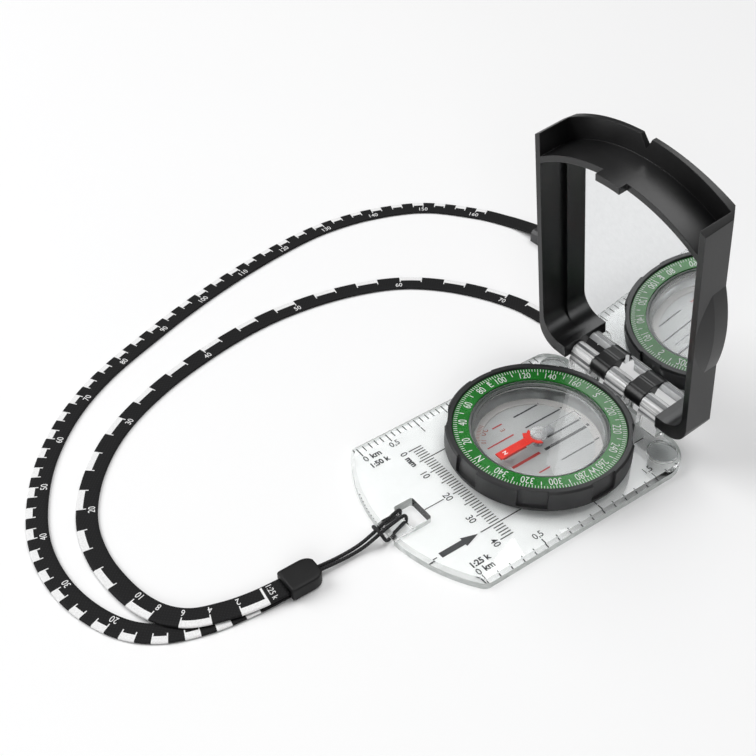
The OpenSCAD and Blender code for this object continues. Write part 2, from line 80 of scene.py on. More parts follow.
make_camera()

# ---------- the lanyard's routes, as in the CAD ----------

FERRULE_X = 0.5
LIE_Z = 0.45        # the middle of a ribbon that lies on the table
CLIP_Z = 2.2        # the middle of a ribbon where it enters the clip
TETHER_HALF = [     # from the ferrule to the bight; the other half is its mirror image
    (-0.6, -67, 2.1), (-0.6, -62.5, 1.5), (-0.65, -58, 1.2), (-0.7, -53.5, 1.5),
    (-0.75, -49.8, 2.6), (-0.85, -46.4, 3.7), (-1, -43, 3.8), (-1.15, -39.9, 3.75),
    (-1.25, -38.75, 3.1), (-1.35, -38.45, 1.95), (-1.5, -38.85, 0.85), (-1.65, -40.6, 0.75),
    (-2, -43.5, 0.75), (-2.2, -46, 0.85), (-2.4, -47.2, 1.9), (-2, -48, 3.7),
]
KNOT_Y, KNOT_LEAN = -47.5, 0.2
BIGHT = (FERRULE_X, -48.3, 4.6)


def leaned(x, y, z):
    """Past the knot the loop leans to the left."""
    return x + FERRULE_X - KNOT_LEAN * max(0, y - KNOT_Y), y, z


TETHER_ROUTE = (
    [leaned(x, y, z) for x, y, z in TETHER_HALF]
    + [BIGHT]
    + [leaned(-x, y, z) for x, y, z in reversed(TETHER_HALF)]
)
OUTER_ROUTE = [     # from the ferrule to the clip
    (0.5, -76.5, 1.1), (-0.3, -86, 0.6), (-2, -97, LIE_Z), (-6, -107.5, LIE_Z),
    (-13, -115, LIE_Z), (-24, -120, LIE_Z), (-37, -122, LIE_Z), (-51, -120.5, LIE_Z),
    (-65, -115, LIE_Z), (-79, -106, LIE_Z), (-92, -93, LIE_Z), (-102, -77.5, LIE_Z),
    (-110, -58.5, LIE_Z), (-117, -39, LIE_Z), (-122.5, -19.5, LIE_Z), (-126.5, 1, LIE_Z),
    (-128, 20, LIE_Z), (-125, 39, LIE_Z), (-117, 56.5, LIE_Z), (-103, 69, LIE_Z),
    (-93, 74.7, LIE_Z), (-86.5, 77, 0.9), (-79.3, 78, CLIP_Z),
]
INNER_ROUTE = [     # from the clip to the ferrule
    (-57.3, 78.8, CLIP_Z), (-47, 80.4, 0.9), (-37, 81, LIE_Z), (-26, 78.5, LIE_Z),
    (-17, 71, LIE_Z), (-14, 61.5, LIE_Z), (-19.3, 54.3, LIE_Z), (-29.5, 51, LIE_Z),
    (-42, 49, LIE_Z), (-53.5, 46.8, LIE_Z), (-65.5, 41.3, LIE_Z), (-77, 33, LIE_Z),
    (-86, 22.5, LIE_Z), (-92, 8.7, LIE_Z), (-95.5, -8, LIE_Z), (-96, -26, LIE_Z),
    (-93, -45.5, LIE_Z), (-87, -66, LIE_Z), (-78, -84, LIE_Z), (-66, -97.5, LIE_Z),
    (-52, -106.5, LIE_Z), (-38, -110, LIE_Z), (-24, -109.5, 0.6), (-13, -106.5, 1.1),
    (-6, -101, 1.45), (-2.5, -93, 1.5), (-0.5, -85, 1.8), (0.5, -76.5, 2.2),
]
RIBBON_W, RIBBON_T, TETHER_D = 5.9, 0.8, 1.0

# ---------- materials ----------

NOISE_LO, NOISE_HI = 0.3, 0.7       # the part of a noise's range that is used
WAVE_UNITS = 6.28                   # one wave of the texture covers two pitches of a weave
IOR_ACRYLIC = 1.49
PLATE_SHADE = (0.6, 0.605, 0.605)   # what the clear plate lets through to its shadow


class Shader:
    """A material's node tree, with short calls for the nodes used here."""

    def __init__(self, name, **values):
        self.mat = bpy.data.materials.new(name)
        self.mat.use_nodes = True
        self.tree = self.mat.node_tree
        self.bsdf = self.tree.nodes["Principled BSDF"]
        for key, value in values.items():
            self.bsdf.inputs[key.replace("_", " ")].default_value = value

    def add(self, kind, inputs=None, **settings):
        n = self.tree.nodes.new("ShaderNode" + kind)
        for key, value in settings.items():
            setattr(n, key, value)
        for key, value in (inputs or {}).items():
            self.put(n.inputs[key], value)
        return n

    def put(self, socket, value):
        if isinstance(value, bpy.types.NodeSocket):
            self.tree.links.new(value, socket)
        else:
            socket.default_value = value

    def place(self, stretch=(1, 1, 1), turn=(0, 0, 0)):
        """The point on the piece, in metres, stretched for a grain."""
        c = self.add("TexCoord").outputs["Object"]
        return self.add("Mapping", {"Vector": c, "Scale": stretch, "Rotation": turn}).outputs[0]

    def noise(self, scale, detail=3, rough=0.5, at=None):
        at = at or self.place()
        return self.add("TexNoise", {"Vector": at, "Scale": scale, "Detail": detail,
                                     "Roughness": rough}).outputs["Fac"]

    def span(self, value, lo, hi, from_lo=NOISE_LO, from_hi=NOISE_HI):
        """The value's range from_lo to from_hi, carried over to lo to hi."""
        return self.add("MapRange", {"Value": value, "From Min": from_lo, "From Max": from_hi,
                                     "To Min": lo, "To Max": hi}).outputs[0]

    def math(self, how, a, b=0.0):
        return self.add("Math", {0: a, 1: b}, operation=how).outputs[0]

    def tint(self, value, dark, light):
        r = self.add("ValToRGB", {"Fac": value})
        for stop, at, colour in zip(r.color_ramp.elements, (NOISE_LO, NOISE_HI), (dark, light)):
            stop.position, stop.color = at, (*colour, 1)
        return r.outputs[0]

    def colour(self, socket):
        self.put(self.bsdf.inputs["Base Color"], socket)

    def rough(self, socket):
        self.put(self.bsdf.inputs["Roughness"], socket)

    def bump(self, height, depth_mm, strength=1.0, onto=None):
        inputs = {"Height": height, "Distance": depth_mm * MM, "Strength": strength}
        if onto is not None:
            inputs["Normal"] = onto
        self.put(self.bsdf.inputs["Normal"], self.add("Bump", inputs).outputs[0])

    def soft_edges(self, radius_mm):
        """Sharp moulded edges catch the light as if rounded."""
        return self.add("Bevel", {"Radius": radius_mm * MM}, samples=4).outputs[0]

    def clear_shadow(self, shade):
        """Lamps shine through the piece, as they do through thin clear plastic."""
        path = self.add("LightPath").outputs["Is Shadow Ray"]
        see = self.add("BsdfTransparent", {"Color": (*shade, 1)})
        mix = self.add("MixShader", {0: path, 1: self.bsdf.outputs[0], 2: see.outputs[0]})
        self.tree.links.new(mix.outputs[0], self.tree.nodes["Material Output"].inputs["Surface"])


def clear_plastic(name, colour, rough, shade, ior=IOR_ACRYLIC, wave=0.004):
    """Clear moulding with a faintly uneven surface, wave millimetres deep."""
    s = Shader(name, Base_Color=(*colour, 1), Roughness=rough, IOR=ior, Transmission_Weight=1.0)
    s.bump(s.noise(160, 2), wave, 0.6)
    s.clear_shadow(shade)
    return s.mat


def moulded(name, dark, light, rough, grain=1500, depth=0.012, edge=0.25, coat=0.0, shine=0.5):
    """Opaque moulded plastic or rubber: fine grain, slight colour drift and worn gloss."""
    s = Shader(name, Coat_Weight=coat, Coat_Roughness=0.12, Specular_IOR_Level=shine)
    fine, broad = s.noise(grain, 4, 0.6), s.noise(90, 3)
    s.colour(s.tint(broad, dark, light))
    both = s.math("ADD", s.math("MULTIPLY", broad, 0.6), s.math("MULTIPLY", fine, 0.4))
    s.rough(s.span(both, *rough))
    s.bump(fine, depth, 0.7, s.soft_edges(edge) if edge else None)
    return s.mat


def brushed(name, colour, rough, stretch):
    """Bare metal with fine lines, longest along the axis that has the smallest stretch."""
    s = Shader(name, Metallic=1.0)
    lines = s.noise(300, 4, 0.6, s.place(stretch))
    s.colour(s.tint(lines, tuple(c * 0.82 for c in colour), colour))
    s.rough(s.span(lines, *rough))
    s.bump(lines, 0.006, 0.5)
    return s.mat


def ink(name, colour, rough=0.45):
    """Printed ink: a little uneven in density."""
    s = Shader(name)
    fine = s.noise(2500, 3, 0.6)
    s.colour(s.tint(fine, tuple(c * 0.8 for c in colour), colour))
    s.rough(s.span(fine, rough - 0.06, rough + 0.1))
    return s.mat


def woven(name, dark, light, pitch, depth):
    """Flat weave from two crossed waves, with fuzz between the threads."""
    s = Shader(name, Sheen_Weight=0.02, Sheen_Roughness=0.5, Specular_IOR_Level=0.25)
    waves = []
    for turn in (math.pi / 4, -math.pi / 4):
        w = s.add("TexWave", {"Vector": s.place(turn=(0, 0, turn)),
                              "Scale": 1 / (pitch * MM * WAVE_UNITS),
                              "Distortion": 0.6, "Detail": 1.0, "Detail Scale": 2.0},
                  wave_type="BANDS", bands_direction="X")
        waves.append(w.outputs["Fac"])
    threads = s.math("MULTIPLY", waves[0], waves[1])
    fuzz = s.noise(4000, 3, 0.6)
    both = s.math("ADD", s.math("MULTIPLY", threads, 0.75), s.math("MULTIPLY", fuzz, 0.35))
    s.colour(s.tint(both, dark, light))
    s.rough(s.span(both, 0.62, 0.85))
    s.bump(both, depth, 0.8)
    return s.mat


def mirror_material():
    s = Shader("silvered_mirror", Metallic=1.0)
    dust = s.noise(700, 4, 0.65)
    s.colour(s.tint(dust, (0.76, 0.77, 0.775), (0.81, 0.82, 0.825)))
    s.rough(s.span(dust, 0.008, 0.03))
    s.bump(s.noise(25, 1), 0.002, 0.3)
    return s.mat


def hub_dome():
    """Clear dome over the pivot, made milky white all over with a faint random haze; the milky white is a
    painted highlight, standing in for the bright middle of the clear dome.
    """
    s = Shader("hub_dome", Roughness=0.06, IOR=1.3, Transmission_Weight=0.8)
    haze = s.noise(700, 2)
    # painted highlight: milky white colour over the whole dome
    s.colour(s.tint(haze, (0.86, 0.87, 0.87), (0.97, 0.97, 0.97)))
    s.bump(haze, 0.01, 0.4)
    s.clear_shadow((0.85, 0.85, 0.85))
    return s.mat


MATERIALS = {
    "clear_plate": clear_plastic("clear_acrylic", (0.975, 0.985, 0.98), 0.015, PLATE_SHADE),
    "clear_rubber": clear_plastic("clear_silicone", (0.93, 0.94, 0.94), 0.22, (0.85, 0.86, 0.86),
                                  ior=1.41, wave=0.02),
    "clear_lens": clear_plastic("capsule_window", (0.985, 0.99, 0.99), 0.01, (0.95, 0.96, 0.96),
                                ior=1.33),
    "clear_hub": clear_plastic("clear_hub", (0.97, 0.97, 0.97), 0.03, (0.9, 0.9, 0.9),
                               ior=1.15, wave=0.0005),
    "frosted_plastic": clear_plastic("frosted_clear", (0.9, 0.92, 0.92), 0.35, (0.75, 0.76, 0.76),
                                     wave=0.03),
    "jewel": clear_plastic("jewel_cup", (0.9, 0.86, 0.87), 0.03, (0.9, 0.86, 0.87), ior=1.5),
    "hub_dome": hub_dome(),
    "mirror": mirror_material(),
    "steel": brushed("drawn_steel", (0.72, 0.72, 0.74), (0.12, 0.25), (0.03, 1, 1)),
    # painted highlight: the magnet is coloured pale, lighter than bare magnet steel, so that the hub over
    # it looks bright in the middle
    "magnet": brushed("magnet_steel_painted_highlight", (0.9, 0.9, 0.91), (0.5, 0.65), (1, 6, 1)),
    "white_plastic": moulded("white_plastic", (0.78, 0.78, 0.77), (0.86, 0.86, 0.85), (0.3, 0.45)),
    "grip_rubber": moulded("grip_rubber", (0.012, 0.012, 0.013), (0.022, 0.022, 0.023),
                           (0.34, 0.5), grain=1900, depth=0.02, edge=0.3),
    "green_plastic": moulded("green_scale", (0.006, 0.15, 0.012), (0.012, 0.21, 0.02),
                             (0.2, 0.32), grain=2200, depth=0.006, edge=0.1),
    "seal_rubber": moulded("seal_rubber", (0.3, 0.31, 0.3), (0.4, 0.41, 0.4), (0.5, 0.65)),
    "dial_print": moulded("dial_floor", (0.38, 0.385, 0.385), (0.44, 0.445, 0.445),
                          (0.35, 0.5), grain=900, depth=0.006, edge=0),
    "declination": moulded("declination_scale", (0.42, 0.41, 0.4), (0.5, 0.48, 0.47),
                           (0.4, 0.55), grain=900, depth=0.006, edge=0),
    "red_needle": moulded("red_lacquer", (0.6, 0.02, 0.012), (0.72, 0.032, 0.018),
                          (0.25, 0.38), grain=1200, depth=0.006, edge=0.08, coat=0.2),
    "black_plastic": moulded("black_moulding", (0.004, 0.004, 0.0043), (0.008, 0.008, 0.0083),
                             (0.28, 0.4), grain=1700, edge=0.3),
    "ferrule": moulded("ferrule_moulding", (0.003, 0.003, 0.0033), (0.006, 0.006, 0.0063),
                       (0.42, 0.55), grain=1700, edge=0.3, shine=0.3),
    "foam_tape": moulded("foam_tape", (0.1, 0.1, 0.1), (0.15, 0.15, 0.15), (0.8, 0.95),
                         grain=1100, depth=0.05, edge=0),
    "clip_plastic": moulded("clip_moulding", (0.03, 0.03, 0.032), (0.045, 0.045, 0.048),
                            (0.34, 0.5), depth=0.015, edge=0.3),
    "ribbon": woven("ribbon_weave", (0.0015, 0.0015, 0.002), (0.014, 0.014, 0.015), 0.4, 0.09),
    "tether_elastic": woven("tether_braid", (0.012, 0.012, 0.013), (0.05, 0.05, 0.053), 0.3, 0.08),
}
WHITE_INK = ink("white_ink", (0.86, 0.88, 0.86))
BLACK_INK = ink("black_ink", (0.02, 0.02, 0.022))
PLATE_INK = ink("plate_ink", (0.035, 0.037, 0.04))
RED_INK = ink("red_ink", (0.42, 0.035, 0.03))
RUST_INK = ink("rust_ink", (0.36, 0.12, 0.08))
RIBBON_INK = ink("ribbon_ink", (0.92, 0.92, 0.92), 0.6)


def dress(node, material):
    o = frame["nodes"][node]
    o.data.materials.clear()
    o.data.materials.append(material)


for part in frame["record"]["subparts"]:
    dress(part["node"], MATERIALS[part["material_slot"]])
dress("declination_ring", MATERIALS["declination"])
# the hub gets the dome with the painted highlight
dress("needle_hub", MATERIALS["hub_dome"])
dress("needle_south", MATERIALS["clear_hub"])

# ---------- the clear plate's own faces ----------

FRONT_ARC_Y = 2.2                                   # centre of the curved front edge
SIDE_X, FRONT_Y, FRONT_R = 28.2, -36, 47            # faces past these are on the outline
CORNER_X, CORNER_Y, CORNER_R = 20.4, 29.5, 8.4      # the rounded rear corners
SLOT_X, SLOT_FRONT_Y, SLOT_REAR_Y = 5, -40, -33     # the lanyard slot
PLATE_TOP = 3
KNUCKLE_Y, KNUCKLE_Z = 35, 6.5                      # the hinge knuckles lie past these
PIN_Y, PIN_Z, BORE_R = 38.5, 9.9, 1.3
SIDES_SLOT, KNUCKLE_SLOT = 1, 2


def polished_edge():
    """Sawn and polished sides of the clear plate, faintly frosted and given a whitish colour; the whitish
    colour is painted light, standing in for the light that runs through the plate and out at its sides.
    """
    s = Shader("acrylic_edge_painted_light", Roughness=0.25, IOR=IOR_ACRYLIC, Transmission_Weight=0.35)
    streaks = s.noise(500, 3, 0.6, s.place((1, 1, 3)))
    # painted light: the whitish streaked colour stands in for light carried out through the sides
    s.colour(s.tint(streaks, (0.6, 0.64, 0.62), (0.92, 0.94, 0.93)))
    s.bump(streaks, 0.02, 0.5)
    s.clear_shadow(PLATE_SHADE)
    return s.mat


def banded_knuckle():
    """Hinge knuckles of the clear plate, with painted reflections: their colour runs in dark and light
    bands along them, standing in for the highlights and shade that the real clear knuckles show.
    """
    s = Shader("acrylic_knuckle_painted_reflections", Roughness=0.12, IOR=IOR_ACRYLIC, Transmission_Weight=0.2)
    bands = s.noise(620, 2, 0.5, s.place((0.02, 1, 1)))
    sharp = s.span(bands, NOISE_LO, NOISE_HI, 0.42, 0.54)
    # painted reflections: dark and light bands of colour along the knuckles
    s.colour(s.tint(sharp, (0.16, 0.165, 0.17), (0.97, 0.97, 0.97)))
    s.bump(bands, 0.2, 0.8)
    s.clear_shadow(PLATE_SHADE)
    return s.mat


def dress_plate():
    mesh = frame["nodes"]["baseplate"].data
    mesh.materials.append(polished_edge())
    mesh.materials.append(banded_knuckle())
    for f in mesh.polygons:
        c = f.center / MM
        upright = abs(f.normal.z) < 0.5 and c.z < PLATE_TOP
        corner = c.y > CORNER_Y - 0.5 and math.hypot(abs(c.x) - CORNER_X, c.y - CORNER_Y) > CORNER_R
        front = c.y < FRONT_Y and math.hypot(c.x, c.y - FRONT_ARC_Y) > FRONT_R
        in_slot = abs(f.normal.x) > 0.5 and abs(c.x) < SLOT_X and SLOT_FRONT_Y < c.y < SLOT_REAR_Y
        knuckle = c.y > KNUCKLE_Y and c.z > KNUCKLE_Z
        # the sides and slot walls get the edge material with painted light
        if upright and (abs(c.x) > SIDE_X or corner or front or in_slot):
            f.material_index = SIDES_SLOT
        # the knuckles get the material with painted reflections
        elif knuckle and math.hypot(c.y - PIN_Y, c.z - PIN_Z) > BORE_R:
            f.material_index = KNUCKLE_SLOT


dress_plate()

# ---------- meshes ----------


def new_piece(name, verts_mm, faces, material, body, smooth=False):
    mesh = bpy.data.meshes.new(name)
    mesh.from_pydata([tuple(c * MM for c in v) for v in verts_mm], [], faces)
    mesh.validate()
    mesh.polygons.foreach_set("use_smooth", [smooth] * len(mesh.polygons))
    mesh.materials.append(material)
    o = bpy.data.objects.new(name, mesh)
    bpy.context.scene.collection.objects.link(o)
    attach(o, body)
    return o


INK_SINK, INK_RISE = 0.01, 0.02     # how far printing reaches into a face, and out of it


def ink_on(node):
    """The heights between which ink lies on a piece's top face."""
    top = (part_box(node)[1] / MM).z
    return top - INK_SINK, top + INK_RISE


class Print:
    """Thin raised shapes gathered into one mesh: ticks, lines and numerals."""

    def __init__(self):
        self.verts, self.faces = [], []

    def shape(self, points, faces, place, z0, z1):
        """Flat faces made z1 - z0 thick; place(x, y, z) carries each point to the piece."""
        n, first = len(points), len(self.verts)
        self.verts += [tuple(place(x, y, z1)) for x, y in points]
        self.verts += [tuple(place(x, y, z0)) for x, y in points]
        edges = {}
        for f in faces:
            self.faces.append([first + i for i in f])
            self.faces.append([first + n + i for i in reversed(f)])
            for a, b in zip(f, f[1:] + f[:1]):
                edges[(a, b)] = edges.get((a, b), 0) + 1
        for a, b in edges:
            if (b, a) not in edges:
                self.faces.append([first + b, first + a, first + n + a, first + n + b])

    def bar(self, x0, x1, y0, y1, place, z0, z1):
        self.shape([(x0, y0), (x1, y0), (x1, y1), (x0, y1)], [[0, 1, 2, 3]], place, z0, z1)

    def text(self, words, size, place, z0, z1, squeeze=0.9, weight=0.0):
        points, faces = lettering(words, weight)
        self.shape([(x * size * squeeze, y * size) for x, y in points], faces, place, z0, z1)

    def piece(self, name, material, body):
        return new_piece(name, self.verts, self.faces, material, body)


_lettering = {}


def lettering(words, weight=0.0):
    """(points, faces) of a line of figures one unit high, centred on its own box."""
    if (words, weight) not in _lettering:
        curve = bpy.data.curves.new("lettering", "FONT")
        curve.body, curve.resolution_u, curve.offset = words, 3, weight
        o = bpy.data.objects.new("lettering", curve)
        bpy.context.scene.collection.objects.link(o)
        bpy.context.view_layer.update()
        e = o.evaluated_get(bpy.context.evaluated_depsgraph_get())
        mesh = bpy.data.meshes.new_from_object(e)
        index, points, faces, remap = {}, [], [], []
        for v in mesh.vertices:     # the fill repeats points, so they are merged
            key = (round(v.co.x, 5), round(v.co.y, 5))
            if key not in index:
                index[key] = len(points)
                points.append(key)
            remap.append(index[key])
        for p in mesh.polygons:
            f = [remap[i] for i in p.vertices]
            if len(set(f)) == len(f) and p.normal.z > 0:
                faces.append(f)
        xs, ys = [p[0] for p in points], [p[1] for p in points]
        cx, cy, high = (min(xs) + max(xs)) / 2, (min(ys) + max(ys)) / 2, max(ys) - min(ys)
        unit = [((x - cx) / high, (y - cy) / high) for x, y in points]
        _lettering[(words, weight)] = unit, faces
        bpy.data.objects.remove(o)
        bpy.data.meshes.remove(mesh)
        bpy.data.curves.remove(curve)
    return _lettering[(words, weight)]


def flat_at(cx, cy, turn_deg=0.0):
    """Carries a flat shape to (cx, cy), turned anticlockwise seen from above."""
    c, s = math.cos(math.radians(turn_deg)), math.sin(math.radians(turn_deg))
    return lambda x, y, z: (cx + x * c - y * s, cy + x * s + y * c, z)


# ---------- cords ----------

SPLINE_STEPS = 24
RIBBON_STEP, TETHER_STEP = 1.0, 0.3


def smooth_route(points, step):
    """Catmull-Rom curve through the points, resampled about step apart."""
    p = np.array(points, float)
    q = np.vstack([2 * p[0] - p[1], p, 2 * p[-1] - p[-2]])
    line = []
    for i in range(len(p) - 1):
        a, b, c, d = q[i:i + 4]
        for t in np.linspace(0, 1, SPLINE_STEPS, endpoint=False):
            line.append(0.5 * (2 * b + (c - a) * t + (2 * a - 5 * b + 4 * c - d) * t ** 2
                               + (3 * b - a - 3 * c + d) * t ** 3))
    line = np.array(line + [p[-1]])
    along = np.concatenate([[0], np.cumsum(np.linalg.norm(np.diff(line, axis=0), axis=1))])
    at = np.linspace(0, along[-1], int(along[-1] / step) + 1)
    return np.stack([np.interp(at, along, line[:, k]) for k in range(3)], 1), at


def frames(line):
    """(along, left, up) at each point of the line; up stays as near +Z as it can."""
    along = np.gradient(line, axis=0)
    along /= np.linalg.norm(along, axis=1)[:, None]
    left = np.cross([0, 0, 1], along)
    left /= np.linalg.norm(left, axis=1)[:, None]
    return along, left, np.cross(along, left)


def ribbon_section():
    """A flat band with a third of a millimetre of rounded selvedge on each side."""
    w, t = RIBBON_W / 2, RIBBON_T / 2
    side = [(w - 0.35, -t), (w - 0.1, -t * 0.75), (w, -t * 0.25), (w, t * 0.25),
            (w - 0.1, t * 0.75), (w - 0.35, t)]
    flat = [w - 1.2, w - 2.1, 0, 2.1 - w, 1.2 - w]
    top = [(x, t) for x in flat]
    other = [(-x, -z) for x, z in side]
    bottom = [(-x, -t) for x in flat]
    return side + top + other + bottom


def tube(line, section_at):
    """Closed mesh through one ring of points per line point."""
    _, left, up = frames(line)
    verts, faces = [], []
    for i, p in enumerate(line):
        for x, z in section_at(i):
            verts.append(tuple(p + left[i] * x + up[i] * z))
    n, m = len(section_at(0)), len(line)
    for i in range(m - 1):
        for k in range(n):
            a, b = i * n + k, i * n + (k + 1) % n
            faces.append([a, b, b + n, a + n])
    faces.append(list(range(n - 1, -1, -1)))
    faces.append([(m - 1) * n + k for k in range(n)])
    return verts, faces


class Ribbon:
    """One flat ribbon and what is printed along it, measured from the ferrule."""

    INK = 0.03              # how far printing stands out of the weave, and reaches into it
    BLOCK_FROM = 1.05       # a white block runs from here, left of the middle, to the edge
    TICK = 0.15             # half the width of the tick at each end of a block

    def __init__(self, name, route):
        self.line, self.at = smooth_route(route, RIBBON_STEP)
        _, self.left, self.up = frames(self.line)
        section = ribbon_section()
        verts, faces = tube(self.line, lambda i: section)
        self.piece = new_piece(name + "_weave", verts, faces, MATERIALS["ribbon"], "base", True)
        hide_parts(name)
        self.print = Print()
        self.heights = RIBBON_T / 2 - self.INK, RIBBON_T / 2 + self.INK

    def on(self, s, across, height):
        """Point s along the ribbon, across to the left of travel, height above its middle."""
        p, l, u = (np.array([np.interp(s, self.at, v[:, k]) for k in range(3)])
                   for v in (self.line, self.left, self.up))
        return p + l * across + u * height

    def block(self, s0, s1):
        """White block over the ribbon's left edge, wrapped round the selvedge."""
        w, t, out = RIBBON_W / 2, RIBBON_T / 2, self.INK
        ring = [(self.BLOCK_FROM, t - 0.05), (self.BLOCK_FROM, t + out), (w - 0.35, t + out),
                (w - 0.08, t * 0.78), (w + out, t * 0.25), (w + out, -t * 0.25),
                (w - 0.12, -t * 0.7), (w - 0.1, 0), (w - 0.4, t - 0.05)]
        steps, n, first = max(2, int(s1 - s0) + 1), len(ring), len(self.print.verts)
        for i in range(steps + 1):
            s = s0 + (s1 - s0) * i / steps
            self.print.verts += [tuple(self.on(s, x, z)) for x, z in ring]
        for i in range(steps):
            for k in range(n):
                a, b = first + i * n + k, first + i * n + (k + 1) % n
                self.print.faces.append([b, a, a + n, b + n])
        self.print.faces.append([first + k for k in range(n)])
        self.print.faces.append([first + steps * n + k for k in range(n - 1, -1, -1)])

    def bar(self, s0, s1, a0, a1):
        self.print.bar(s0, s1, a0, a1, self.on, *self.heights)

    def figures(self, words, s, across, size, turn=0.0):
        c, k = math.cos(turn), math.sin(turn)

        def place(x, y, z):
            return self.on(s + x * c - y * k, across + x * k + y * c, z)

        self.print.text(words, size, place, *self.heights)

    def scale(self, start, pitch, end):
        """White and plain blocks in turn, with a tick at each change."""
        s = start
        while s + pitch / 2 <= end:
            self.block(s, s + pitch / 2)
            for tick in (s + self.TICK, s + pitch / 2 - self.TICK):
                self.bar(tick - self.TICK, tick + self.TICK, 0.2, 1.1)
            s += pitch

    def count(self, numbers, start, pitch, across, size=1.9):
        """Numbers along the ribbon, pitch being the distance that stands for 1."""
        for number in numbers:
            self.figures(str(number), start + pitch * number, across, size)


outer = Ribbon("ribbon_outer", OUTER_ROUTE)
outer.scale(start=8.4, pitch=7.515, end=314)
outer.count(range(20, 170, 10), start=8.3, pitch=1.879, across=-1.3)
inner = Ribbon("ribbon_inner", list(reversed(INNER_ROUTE)))
inner.scale(start=5.5, pitch=14.37, end=307)
inner.bar(5.5, 6.1, -2.5, 1.1)
inner.figures("1:25 k", 3.7, 0.1, 1.6, math.pi / 2)
inner.count((2, 4, 6, 8), start=5.3, pitch=3.6, across=-1.2)
inner.count(range(10, 80, 10), start=5.2, pitch=3.59, across=-1.3)


def make_tether():
    """Braided elastic: its sides swell a little over each strand, and lay is one turn's length."""
    line, at = smooth_route(TETHER_ROUTE, TETHER_STEP)
    sides, strands, lay = 16, 4, 2.6

    def section(i):
        ring = []
        for k in range(sides):
            a = 2 * math.pi * k / sides
            turn = 2 * math.pi * at[i] / lay
            swell = math.cos(strands * a + turn) * math.cos(strands * a - turn)
            r = TETHER_D / 2 * (0.96 + 0.05 * swell)
            ring.append((r * math.cos(a), -r * math.sin(a)))
        return ring[::-1]

    verts, faces = tube(line, section)
    o = new_piece("tether_braid", verts, faces, MATERIALS["tether_elastic"], "base",
                  True)
    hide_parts("tether_cord")
    return o, line, at[-1]


tether, tether_line, tether_len = make_tether()

# ---------- ferrule ----------

NOSE, TAIL = 4.2, 0.7               # lengths over which the sleeve rounds off at its ends
SQUARE_W, SQUARE_H = 0.2, 0.22      # powers that make its section a rounded rectangle


def make_ferrule():
    """Moulded sleeve, square at the ribbons and rounded off towards the tether."""
    lo, hi = (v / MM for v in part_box("lanyard_ferrule"))
    half_w, half_h, mid_z = (hi.x - lo.x) / 2, (hi.z - lo.z) / 2, (hi.z + lo.z) / 2
    steps, sides = 28, 40
    verts, faces = [], []
    for i in range(steps + 1):
        f = i / steps
        y = lo.y + (hi.y - lo.y) * f
        nose = max(0.0, (y - (hi.y - NOSE)) / NOSE)
        tail = max(0.0, 1 - (y - lo.y) / TAIL)
        w = half_w * (math.sqrt(max(0.0, 1 - (nose * 0.88) ** 3.2)) - 0.04 * tail ** 2)
        h = half_h * (math.sqrt(max(0.0, 1 - (nose * 0.6) ** 5)) - 0.07 * tail ** 2)
        for k in range(sides):
            a = 2 * math.pi * k / sides
            c, s = math.cos(a), math.sin(a)
            verts.append(((lo.x + hi.x) / 2 + w * math.copysign(abs(c) ** SQUARE_W, c), y,
                          mid_z + h * math.copysign(abs(s) ** SQUARE_H, s)))
    for i in range(steps):
        for k in range(sides):
            a, b = i * sides + k, i * sides + (k + 1) % sides
            faces.append([b, a, a + sides, b + sides])
    faces.append(list(range(sides)))
    faces.append([steps * sides + k for k in range(sides - 1, -1, -1)])
    o = new_piece("ferrule_sleeve", verts, faces, MATERIALS["ferrule"], "base", True)
    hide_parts("lanyard_ferrule")
    return o


ferrule = make_ferrule()

# ---------- printing on the plate ----------

PLATE_INK_Z = (0.03, 0.05)          # just inside the plate's bottom face
MM_TICK, MAP_TICK, GUIDE = 0.16, 0.17, 0.16     # halves of the widths of ticks and lines
MM_EDGE_Y, MM_SHORT_Y, MM_LONG_Y = -18.4, -21.7, -22.7
MAP_START_Y = -34                   # both map scales begin here
GUIDE_X = 15                        # lines either side of the plate's middle
ARROW = [(14.1, -38.6), (15.9, -38.6), (15.9, -31), (16.6, -31), (15, -26.2), (13.4, -31), (14.1, -31)]
ARROW_FACES = [[0, 1, 2, 6], [3, 4, 5], [2, 3, 5, 6]]
MAP_WORDS = (       # words, x, y, size, weight
    ("0", -24.9, -34, 2.1, 0.006), ("km", -24.9, -30.7, 2.1, 0.03), ("0,5", -25, -24, 2.3, 0.006),
    ("1", -24.9, -14, 2.1, 0.006), ("1:50 k", -21.7, -31.3, 2.0, 0.035),
    ("0", 24.9, -34, 2.1, 0.006), ("km", 24.9, -30.7, 2.1, 0.03), ("1:25 k", 22.3, -31.3, 2.0, 0.035),
    ("0,5", 24.7, -13.9, 2.3, 0.006), ("1", 24.8, 6, 2.1, 0.006), ("1,5", 24.7, 26.1, 2.3, 0.006),
)


def front_edge_y(x, radius):
    """A point of an arc that runs along the plate's curved front edge."""
    return FRONT_ARC_Y - math.sqrt(radius ** 2 - x * x)


